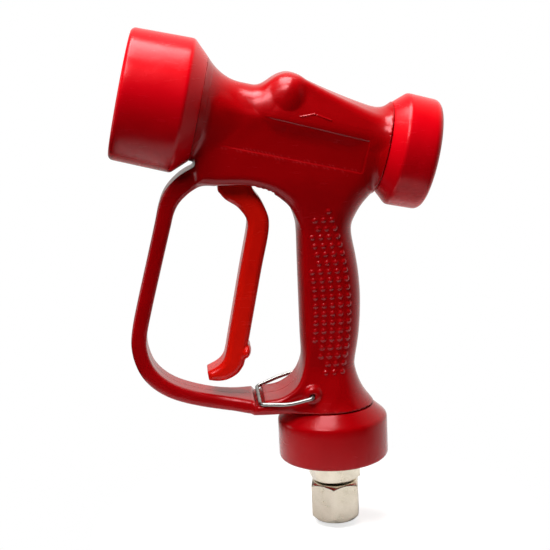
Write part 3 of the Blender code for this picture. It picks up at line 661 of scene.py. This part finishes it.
def soft_solid(name, colour, shade, gloss):
    """Small moulded pieces inside: rubber rings and low-friction plastic."""
    look = Recipe(name, gloss)
    drift = look.noise(160.0, 4.0)
    look.link(look.blend(look.spread(drift, 0.0, 1.0), colour, shade), "Base Color")
    look.link(look.spread(drift, gloss - 0.06, gloss + 0.08), "Roughness")
    look.bump(look.noise(900.0, 3.0), 0.00002, 0.6)
    return look.material


COVER_RED = red_mould("cover_red", (0.43, 0.0, 0.0020), (0.36, 0.0, 0.0014), 0.22, parting=True)
BUMPER_RED = red_mould("bumper_red", (0.72, 0.0, 0.0060), (0.62, 0.0, 0.0044), 0.24, shine=0.40)
COLLAR_RED = red_mould("collar_red", (0.46, 0.0, 0.0026), (0.38, 0.0, 0.0018), 0.20, shine=0.40)
TRIGGER_RED = red_mould("trigger_red", (0.84, 0.008, 0.002), (0.72, 0.005, 0.002), 0.22)
NICKEL = plated("nickel", (0.82, 0.75, 0.63), (0.69, 0.62, 0.49), 0.18)
STEEL = plated("steel", (0.37, 0.36, 0.34), (0.28, 0.27, 0.26), 0.24)
BRASS = plated("brass_metal", (0.78, 0.56, 0.26), (0.60, 0.40, 0.17), 0.28)
NITRILE = soft_solid("nitrile", (0.018, 0.018, 0.02), (0.03, 0.03, 0.032), 0.55)
ACETAL = soft_solid("acetal", (0.80, 0.80, 0.76), (0.70, 0.70, 0.66), 0.42)
BY_SLOT = {
    "cover_rubber": BUMPER_RED, "trigger_coating": TRIGGER_RED, "brass": BRASS, "nickel_plate": NICKEL,
    "stainless": STEEL, "black_rubber": NITRILE, "white_plastic": ACETAL}


def finish_cad_nodes():
    """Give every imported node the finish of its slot."""
    for part in frame["record"]["subparts"]:
        data = frame["nodes"][part["node"]].data
        data.materials.clear()
        data.materials.append(BY_SLOT[part["material_slot"]])


# ---------------------------------------------------------------- pieces

DOT_RADIUS = 1.3
DOT_HEIGHT = 0.7
DOT_PITCH_ALONG = 4.35
DOT_PITCH_ACROSS = 4.2
FIRST_DOT_HEIGHT = 70.2
DOT_COLUMNS = ((84.0, 123.5), (75.0, 141.0), (70.0, 150.5), (69.5, 152.0), (69.5, 153.0))

PANEL_REAR = -21.6
PANEL_FRONT = 53.0
PANEL_BOTTOM = -14.0
PANEL_TOP = 2.1
PANEL_DEPTH = 0.4
PANEL_EDGE = 0.35
PANEL_FADE = 15.0
RIDGES = (((14.0, 7.3), (7.2, 9.9)), ((6.2, 9.6), (-0.9, 8.4)))
RIDGE_HEIGHT = 0.35
RIDGE_HALF_WIDTH = 0.55


def grip_dots():
    """Side-view places (x, z) of the raised dots: five columns that follow the back of the grip."""
    dots = []
    for column, (low, high) in enumerate(DOT_COLUMNS):
        for row in range(20):
            z = FIRST_DOT_HEIGHT + DOT_PITCH_ALONG * row
            if low <= z <= high:
                middle = 0.7 - 0.0038 * (z - 105.0) ** 2
                dots.append((middle + DOT_PITCH_ACROSS * (column - 2), z))
    return np.array(dots)


def panel_top(s):
    """Height of the panel's upper edge, which climbs towards the front."""
    return PANEL_TOP + 0.036 * (s - PANEL_REAR)


def panel_relief(s, n, y):
    """Shallow pocket of the side panel, which fades out at its front end, and two short ridges."""
    top = panel_top(s)
    inside = ramp(n, PANEL_BOTTOM - PANEL_EDGE, PANEL_BOTTOM + PANEL_EDGE)
    inside = inside * ramp(n, top + PANEL_EDGE, top - PANEL_EDGE)
    inside = inside * ramp(s, PANEL_REAR - PANEL_EDGE, PANEL_REAR + PANEL_EDGE)
    fade_start = PANEL_FRONT - 0.85 * np.clip(n - PANEL_BOTTOM, 0, 20)
    fade = ramp(s, fade_start, fade_start - PANEL_FADE)
    relief = -PANEL_DEPTH * inside * fade * fade * (3 - 2 * fade)
    for ridge in RIDGES:
        gap, _ = near_path(s, n, np.array(ridge))
        relief = relief + RIDGE_HEIGHT * ramp(gap, RIDGE_HALF_WIDTH, 0.0)
    return relief * (np.abs(y) > 9.0)


def in_detail(points):
    """Which points lie where the cover carries dots, the panel, the ridges or a seam's edge."""
    x, y, z = points.T
    s, n = to_barrel(x, z)
    margin = 1.5
    dots = (x > -12.0) & (x < 13.0) & (z > 67.0) & (z < 156.0) & (np.abs(y) > 10.5)
    panel = (s > PANEL_REAR - margin) & (s < PANEL_FRONT + margin)
    panel &= (n > PANEL_BOTTOM - margin) & (n < 11.5) & (np.abs(y) > 12.5)
    rho = np.hypot(n, y)
    seams = (rho > 19.0) & (rho < 28.0) & ((s > COVER_FRONT - 2.0) | (s < COVER_REAR + 2.0)) & (n > -27.0)
    return dots | panel | seams


def on_panel_edge(points):
    """Which points lie at the panel's outline or on the ridges, where the mesh is finest."""
    x, y, z = points.T
    s, n = to_barrel(x, z)
    top, margin = panel_top(s), 0.8
    along = (np.abs(n - PANEL_BOTTOM) < margin) | (np.abs(n - top) < margin)
    along &= (s > PANEL_REAR - margin) & (s < PANEL_FRONT - 4.0)
    rear = (np.abs(s - PANEL_REAR) < margin) & (n > PANEL_BOTTOM) & (n < top)
    ridges = (s > -1.6) & (s < 14.8) & (n > 6.4) & (n < 11.0)
    return (along | rear | ridges) & (np.abs(y) > 12.5)


def refined(points, quads, areas):
    """Split the faces of each detailed area in turn into four."""
    mesh = bmesh.new()
    for point in points:
        mesh.verts.new(point)
    mesh.verts.ensure_lookup_table()
    for quad in quads:
        mesh.faces.new([mesh.verts[i] for i in quad])
    for area in areas:
        spots = np.array([face.calc_center_median() for face in mesh.faces])
        wanted = area(spots)
        edges = {edge for face, take in zip(mesh.faces, wanted) if take for edge in face.edges}
        bmesh.ops.subdivide_edges(mesh, edges=list(edges), cuts=1, use_grid_fill=True)
    bmesh.ops.triangulate(mesh, faces=[face for face in mesh.faces if len(face.verts) > 4])
    mesh.verts.index_update()
    co = np.array([vert.co for vert in mesh.verts])
    faces = [[vert.index for vert in face.verts] for face in mesh.faces]
    mesh.free()
    return co, faces


def with_relief(points, outward):
    """Raise the dots and sink the panel, along the surface's own outward directions."""
    x, y, z = points.T
    s, n = to_barrel(x, z)
    height = panel_relief(s, n, y) * (outward[:, 1] * np.sign(y) > 0.25)
    near = np.flatnonzero(in_detail(points))
    for sign in (-1, 1):
        side = near[(sign * y[near] > 0) & (sign * outward[near, 1] > 0.25)]
        for dot_x, dot_z in grip_dots():
            centre = points[side[np.argmin((x[side] - dot_x) ** 2 + (z[side] - dot_z) ** 2)]].copy()
            centre[0], centre[2] = dot_x, dot_z
            gap = np.linalg.norm(points[side] - centre, axis=1) / DOT_RADIUS
            dot = side[gap < 1]
            height[dot] = DOT_HEIGHT * np.sqrt(1 - gap[gap < 1] ** 2)
    return points + outward * height[:, None]


def seam_lip(end, inwards):
    """Closed outline of the thin turned rim that edges the skin at a seam."""
    heights = np.linspace(end + 3.2 * inwards, end, 9)
    outside = [(float(skin_radius(s)) + 0.12 * i / 8, float(s), 0) for i, s in enumerate(heights)]
    rim = outside[-1][0]
    inside = [(rim - 2.0, end, 0), (outside[0][0] - 1.5, heights[0], 0)]
    return filleted(outside[:-1] + [(rim, end, 0.35)] + inside)


def moulded_cover():
    """The cover with its dots, panel and ridges, and a turned rim at each seam."""
    step = 0.92
    points, quads = surface_net(cover_field, (-108, -25, 47), (40, 25, 230), step)
    points, _ = settle(cover_field, points)
    points, faces = refined(points, quads, (in_detail, on_panel_edge))
    points, outward = settle(cover_field, points, 1)
    points = with_relief(points, outward)
    proud = 0.05
    for end, inwards in ((COVER_FRONT + proud, -1), (COVER_REAR - proud, 1)):
        rim, rim_faces = revolve(seam_lip(end, inwards), True, 144)
        faces += [[len(points) + i for i in face] for face in rim_faces]
        points = np.vstack([points, rim])
    fix_outward(new_piece("moulded_cover", points, faces, COVER_RED, "handle", "body_cover"))


# Side view of the finger blade: its front edge down to the curled end, and its rear edge back up.
BLADE_FRONT = smooth_curve([from_barrel(s, n) for s, n in (
    (44.9, -15.0), (46.0, -26.0), (46.1, -36.0), (44.1, -38.6), (40.9, -40.9), (35.2, -43.0),
    (31.4, -45.7), (29.1, -48.2), (27.9, -51.0), (27.4, -57.1), (27.1, -72.8), (26.5, -91.9),
    (25.9, -110.8), (25.7, -117.6), (26.1, -121.4), (28.2, -125.2), (33.0, -129.3))], 4)
BLADE_REAR = smooth_curve([from_barrel(s, n) for s, n in (
    (31.4, -133.4), (26.6, -133.0), (22.0, -131.3), (17.8, -127.6), (16.0, -124.0), (15.3, -120.4),
    (15.5, -108.7), (16.0, -89.6), (16.5, -70.8), (16.6, -55.4), (17.5, -47.8), (19.5, -43.2),
    (23.8, -37.6), (29.0, -32.9), (31.0, -27.0), (31.4, -15.0))], 4)
BLADE = np.vstack([BLADE_FRONT, BLADE_REAR])

# Side view of the arms that fork round the casting, from the hub down to the blade.
ARMS = np.array([from_barrel(s, n) for s, n in (
    (15.1, 14.6), (17.5, 0.0), (23.0, -14.0), (27.8, -25.0), (29.0, -29.0), (46.2, -29.0), (44.4, -12.0),
    (36.6, -3.0), (30.8, 5.0), (26.9, 15.5))])


def trigger_field(x, y, z):
    """Finger blade with the nub behind it, joined to a plate forked round the casting."""
    s, n = to_barrel(x, z)
    blade = both(outline_distance(x, z, BLADE), np.abs(y) - BLADE_HALF_WIDTH, 3.4)
    nub = np.sqrt((s - 15.6) ** 2 + (0.62 * (n + 115.2)) ** 2 + (0.35 * (np.abs(y) - 4.0)) ** 2) - 2.5
    hub = from_pivot(s, n) - HUB_RADIUS
    plate = both(np.minimum(outline_distance(x, z, ARMS), hub), np.abs(y) - ARM_OUTER, 1.0)
    fork = np.maximum(np.abs(y) - ARM_INNER, -14.2 - n)
    plate = without(plate, fork, 0.5)
    hole = from_pivot(s, n) - SHAFT_HOLE_RADIUS
    return without(either(either(plate, blade, 1.5), nub, 0.6), hole, 0.3)


def trigger():
    """The red trigger, in place of the CAD lever."""
    step = 0.6
    points, quads = surface_net(trigger_field, (-82, -15, 52), (4, 15, 214), step)
    points, _ = settle(trigger_field, points)
    new_piece("trigger_blade", points, quads, TRIGGER_RED, "trigger", "trigger_lever")


def bumpers():
    """The three turned rubber rings: barrel front, barrel rear, and over the hose fitting."""
    front = filleted([
        (14.4, 62.75, 0), (26.1, 62.75, 0.6), (33.5, 70.5, 3.0), (32.75, 101.95, 2.6),
        (27.0, 101.95, 1.6), (24.4, 98.5, 2.5), (21.6, 84.0, 2.0), (20.0, 82.0, 1.0), (14.4, 82.0, 0.4)])
    lathe("front_ring", cut_up(front, 2.5), BUMPER_RED, "handle", "front_bumper", True)
    rear = filleted([
        (0, -54.6, 0), (14.0, -54.6, 1.0), (16.0, -55.6, 1.0), (27.8, -55.6, 4.0), (28.3, -38.2, 3.2),
        (22.4, -31.5, 0.7), (12.6, -31.5, 0.4), (12.6, -43.0, 0.4), (0, -43.0, 0)])
    lathe("rear_cap", cut_up(rear, 2.5), BUMPER_RED, "handle", "rear_bumper", True)
    collar = filleted([
        (11.4, 49.6, 0.3), (21.4, 49.6, 0.6), (28.4, 43.4, 3.4), (28.4, 21.8, 2.2), (14.9, 21.8, 0.8),
        (14.9, 28.2, 0.3), (11.4, 28.2, 0.3)])
    lathe("swivel_ring", cut_up(collar, 2.5), COLLAR_RED, "handle", "swivel_bumper")


def nozzle_piece():
    """Brass mouth screwed into the barrel's front."""
    tip = filleted([
        (10.3, 58.8, 0.2), (14.0, 58.8, 0.4), (14.0, 84.0, 1.4), (7.6, 84.0, 0.5), (4.3, 80.5, 1.0),
        (4.3, 77.5, 1.0), (6.2, 71.4, 0.3), (8.4, 71.2, 0), (8.4, 68.3, 0), (10.3, 68.3, 0)])
    lathe("nozzle_mouth", tip, BRASS, "handle", "nozzle_tip", True)


def hexagon(x, y, turn):
    """Hexagonal prism of the fitting, upright, with one flat facing the turn."""
    sides = [np.abs(x * cos(turn + k * pi / 3) + y * sin(turn + k * pi / 3)) for k in range(3)]
    return np.maximum(np.maximum(sides[0], sides[1]), sides[2]) - ACROSS_FLATS / 2


def nut_field(x, y, z):
    """Turning nut: chamfered hexagon with the hose thread inside."""
    rho = np.hypot(x, y)
    bottom, top, edge = -13.0, 8.0, 0.25
    body = both(hexagon(x, y, NUT_TURN + pi / 6), np.maximum(bottom - z, z - top), edge)
    low = (rho - 10.8 - 0.95 * (z - bottom)) * 0.72
    high = (rho - 11.4 - 1.6 * (top - z)) * 0.53
    body = both(body, np.maximum(low, high), edge)
    turn = np.arctan2(y, x) / (2 * pi)
    phase = (z / THREAD_PITCH - turn) % 1.0
    thread = THREAD_CREST + 0.95 * np.clip(1.35 * np.abs(2 * phase - 1) - 0.18, 0, 1)
    relief = THREAD_CREST + ramp(z, -11.6, -12.6)
    bore = np.maximum((rho - np.maximum(thread, relief)) * 0.65, z - 5.9)
    neck = rho - 6.6
    return without(body, np.minimum(bore, neck), 0.15)


def adaptor_field(x, y, z):
    """Fixed hexagon above the nut, with the spigot that screws into the handle tube."""
    rho = np.hypot(x, y)
    bottom, top, edge = 8.6, 27.8, 0.25
    body = both(hexagon(x, y, ADAPTOR_TURN + pi / 6), np.maximum(bottom - z, z - top), edge)
    low, high = rho - 10.5 - 1.7 * (z - bottom), rho - 11.9 - 1.7 * (top - z)
    body = both(body, np.maximum(low, high) * 0.5, edge)
    spigot = both(rho - 8.0, np.maximum(26.0 - z, z - 41.6), 0.5)
    bore = np.minimum(np.maximum(rho - 6.55, z - 20.3), rho - 4.8)
    return without(np.minimum(body, spigot), bore, 0.2)


def fitting():
    """The turning nut and the fixed hexagon above it."""
    step = 0.42
    for name, field, low, high, body, node in (
            ("turning_nut", nut_field, -14, 9, "hose_nut", "swivel_nut"),
            ("hose_adaptor", adaptor_field, 7.5, 43, "handle", "swivel_adaptor")):
        points, quads = surface_net(field, (-15, -15, low), (15, 15, high), step)
        points, _ = settle(field, points)
        new_piece(name, points, quads, NICKEL, body, node)


def return_coil():
    """The spring round the valve stem."""
    turns, steps, radius, wire = 6, 24, 5.6, 0.65
    rear, front = SPRING_REAR + wire, SPRING_FRONT - wire
    path = []
    for i in range(turns * steps + 1):
        angle = 2 * pi * i / steps
        x, z = from_barrel(rear + (front - rear) * i / (turns * steps), radius * cos(angle))
        path.append((x, radius * sin(angle), z))
    coil = wire_tube("return_coil", path, wire, STEEL, "handle", "return_spring", 10)
    x, z = from_barrel(SPRING_REAR, 0.0)
    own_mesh(coil)


def latch():
    """Wire bail: its ends in the foot's bosses, its front bar across the pad."""
    def end(y):
        return Vector((LATCH_X, y, LATCH_HEIGHT + LATCH_SLOPE * y))

    tip, bar_half, bar_height = 14.8, 16.0, 56.2
    path = [
        end(-tip), end(-LATCH_REACH), Vector((-23.6, -19.2, 56.0)),
        Vector((LATCH_FRONT_X, -bar_half, bar_height)), Vector((LATCH_FRONT_X, bar_half, bar_height)),
        Vector((-26.0, 19.2, 60.0)), end(LATCH_REACH), end(tip)]
    path = bent(path, (1.6, 4.5, 2.0, 2.0, 4.5, 1.6))
    wire_tube("latch_bail", path, LATCH_WIRE_RADIUS, STEEL, "latch", "latch_wire")


finish_cad_nodes()
moulded_cover()
trigger()
bumpers()
nozzle_piece()
fitting()
latch()
return_coil()


# ---------------------------------------------------------------- stage

def camera():
    """Camera at the photo's angle: degrees round, up and rolled, looking at the target."""
    azimuth, elevation, roll, distance = -3.687, 11.752, -2.648, 0.6505
    target = Vector((-0.026575, 0.0, 0.119193))
    az, el, ro = radians(azimuth), radians(elevation), radians(roll)
    back = Vector((sin(az) * cos(el), -cos(az) * cos(el), sin(el)))
    right = Vector((cos(az), sin(az), 0))
    up = back.cross(right)
    across = right * cos(ro) + up * sin(ro)
    upward = up * cos(ro) - right * sin(ro)
    data = bpy.data.cameras.new("camera")
    data.lens = 83.73
    data.sensor_width = 36.0
    made = bpy.data.objects.new("camera", data)
    bpy.context.scene.collection.objects.link(made)
    spot = target + back * distance
    made.matrix_world = Matrix((
        (across.x, upward.x, back.x, spot.x),
        (across.y, upward.y, back.y, spot.y),
        (across.z, upward.z, back.z, spot.z),
        (0, 0, 0, 1)))
    bpy.context.scene.camera = made


def lamp(name, spot, size, power):
    """Rectangular soft light in watts, facing the object's middle."""
    middle = Vector((-0.03, 0, 0.12))
    data = bpy.data.lights.new(name, "AREA")
    data.shape = "RECTANGLE"
    data.size, data.size_y = size
    data.energy = power
    made = bpy.data.objects.new(name, data)
    bpy.context.scene.collection.objects.link(made)
    made.location = spot
    made.rotation_euler = (middle - Vector(spot)).to_track_quat("-Z", "Y").to_euler()


# The studio room is brightest towards BRIGHT_WAY: behind the object and to the right.
BRIGHT_WAY = (0.62, 0.78, 0.0)
ROOM_LIGHT = (1.0, 0.97, 0.93, 1)
DIMMEST, BRIGHTEST = 0.012, 1.0


def surroundings():
    """White to the camera; to everything else a dim room that brightens behind and to the right."""
    world = bpy.data.worlds.new("studio")
    bpy.context.scene.world = world
    world.use_nodes = True
    tree = world.node_tree
    light = tree.nodes["Background"]
    light.inputs["Color"].default_value = ROOM_LIGHT
    seen = tree.nodes.new("ShaderNodeBackground")
    seen.inputs["Color"].default_value = (1, 1, 1, 1)
    place = tree.nodes.new("ShaderNodeTexCoord")
    facing = tree.nodes.new("ShaderNodeVectorMath")
    facing.operation = "DOT_PRODUCT"
    facing.inputs[1].default_value = BRIGHT_WAY
    fade = tree.nodes.new("ShaderNodeMapRange")
    for key, value in (("From Min", 0.22), ("From Max", 0.92), ("To Min", DIMMEST), ("To Max", BRIGHTEST)):
        fade.inputs[key].default_value = value
    rays = tree.nodes.new("ShaderNodeLightPath")
    choose = tree.nodes.new("ShaderNodeMixShader")
    for output, key in (
            (place.outputs["Generated"], facing.inputs[0]),
            (facing.outputs["Value"], fade.inputs["Value"]),
            (fade.outputs[0], light.inputs["Strength"]),
            (rays.outputs["Is Camera Ray"], choose.inputs[0]),
            (light.outputs[0], choose.inputs[1]),
            (seen.outputs[0], choose.inputs[2]),
            (choose.outputs[0], tree.nodes["World Output"].inputs["Surface"])):
        tree.links.new(output, key)


FLOOR_RADIUS = 0.17
FLOOR_HEIGHT = -0.0158
FLOOR_GLOW = 0.72
FADE_START, FADE_END = 0.02, 0.12


def paper_floor():
    """Pale round floor that fades into the white surroundings towards its rim."""
    mesh = bmesh.new()
    bmesh.ops.create_circle(mesh, cap_ends=True, segments=64, radius=FLOOR_RADIUS)
    data = bpy.data.meshes.new("floor")
    mesh.to_mesh(data)
    mesh.free()
    floor = bpy.data.objects.new("floor", data)
    floor.location = (-0.01, 0.0, FLOOR_HEIGHT)
    bpy.context.scene.collection.objects.link(floor)
    look = Recipe("floor_paper", 0.9)
    look.link(look.blend(look.noise(30.0), (0.68, 0.68, 0.68), (0.74, 0.74, 0.73)), "Base Color")
    look.shader.inputs["Specular IOR Level"].default_value = 0.1
    look.shader.inputs["Emission Color"].default_value = (1, 1, 1, 1)
    camera_ray = look.add("ShaderNodeLightPath").outputs["Is Camera Ray"]
    look.link(look.math("MULTIPLY", camera_ray, FLOOR_GLOW), "Emission Strength")
    far = look.add("ShaderNodeVectorMath", {0: look.place}, operation="LENGTH").outputs["Value"]
    hidden = look.math("MULTIPLY", camera_ray, look.spread(far, 0.0, 1.0, FADE_START, FADE_END))
    look.link(look.math("SUBTRACT", 1.0, hidden), "Alpha")
    data.materials.append(look.material)


camera()
surroundings()
paper_floor()
lamp("key", (-0.32, -0.48, 0.88), (0.46, 0.32), 6.5)
lamp("top", (-0.16, 0.04, 1.04), (0.62, 0.6), 14.0)
lamp("left", (-0.9, 0.26, 0.30), (0.22, 0.7), 1.0)
bpy.context.scene.view_settings.view_transform = "Standard"
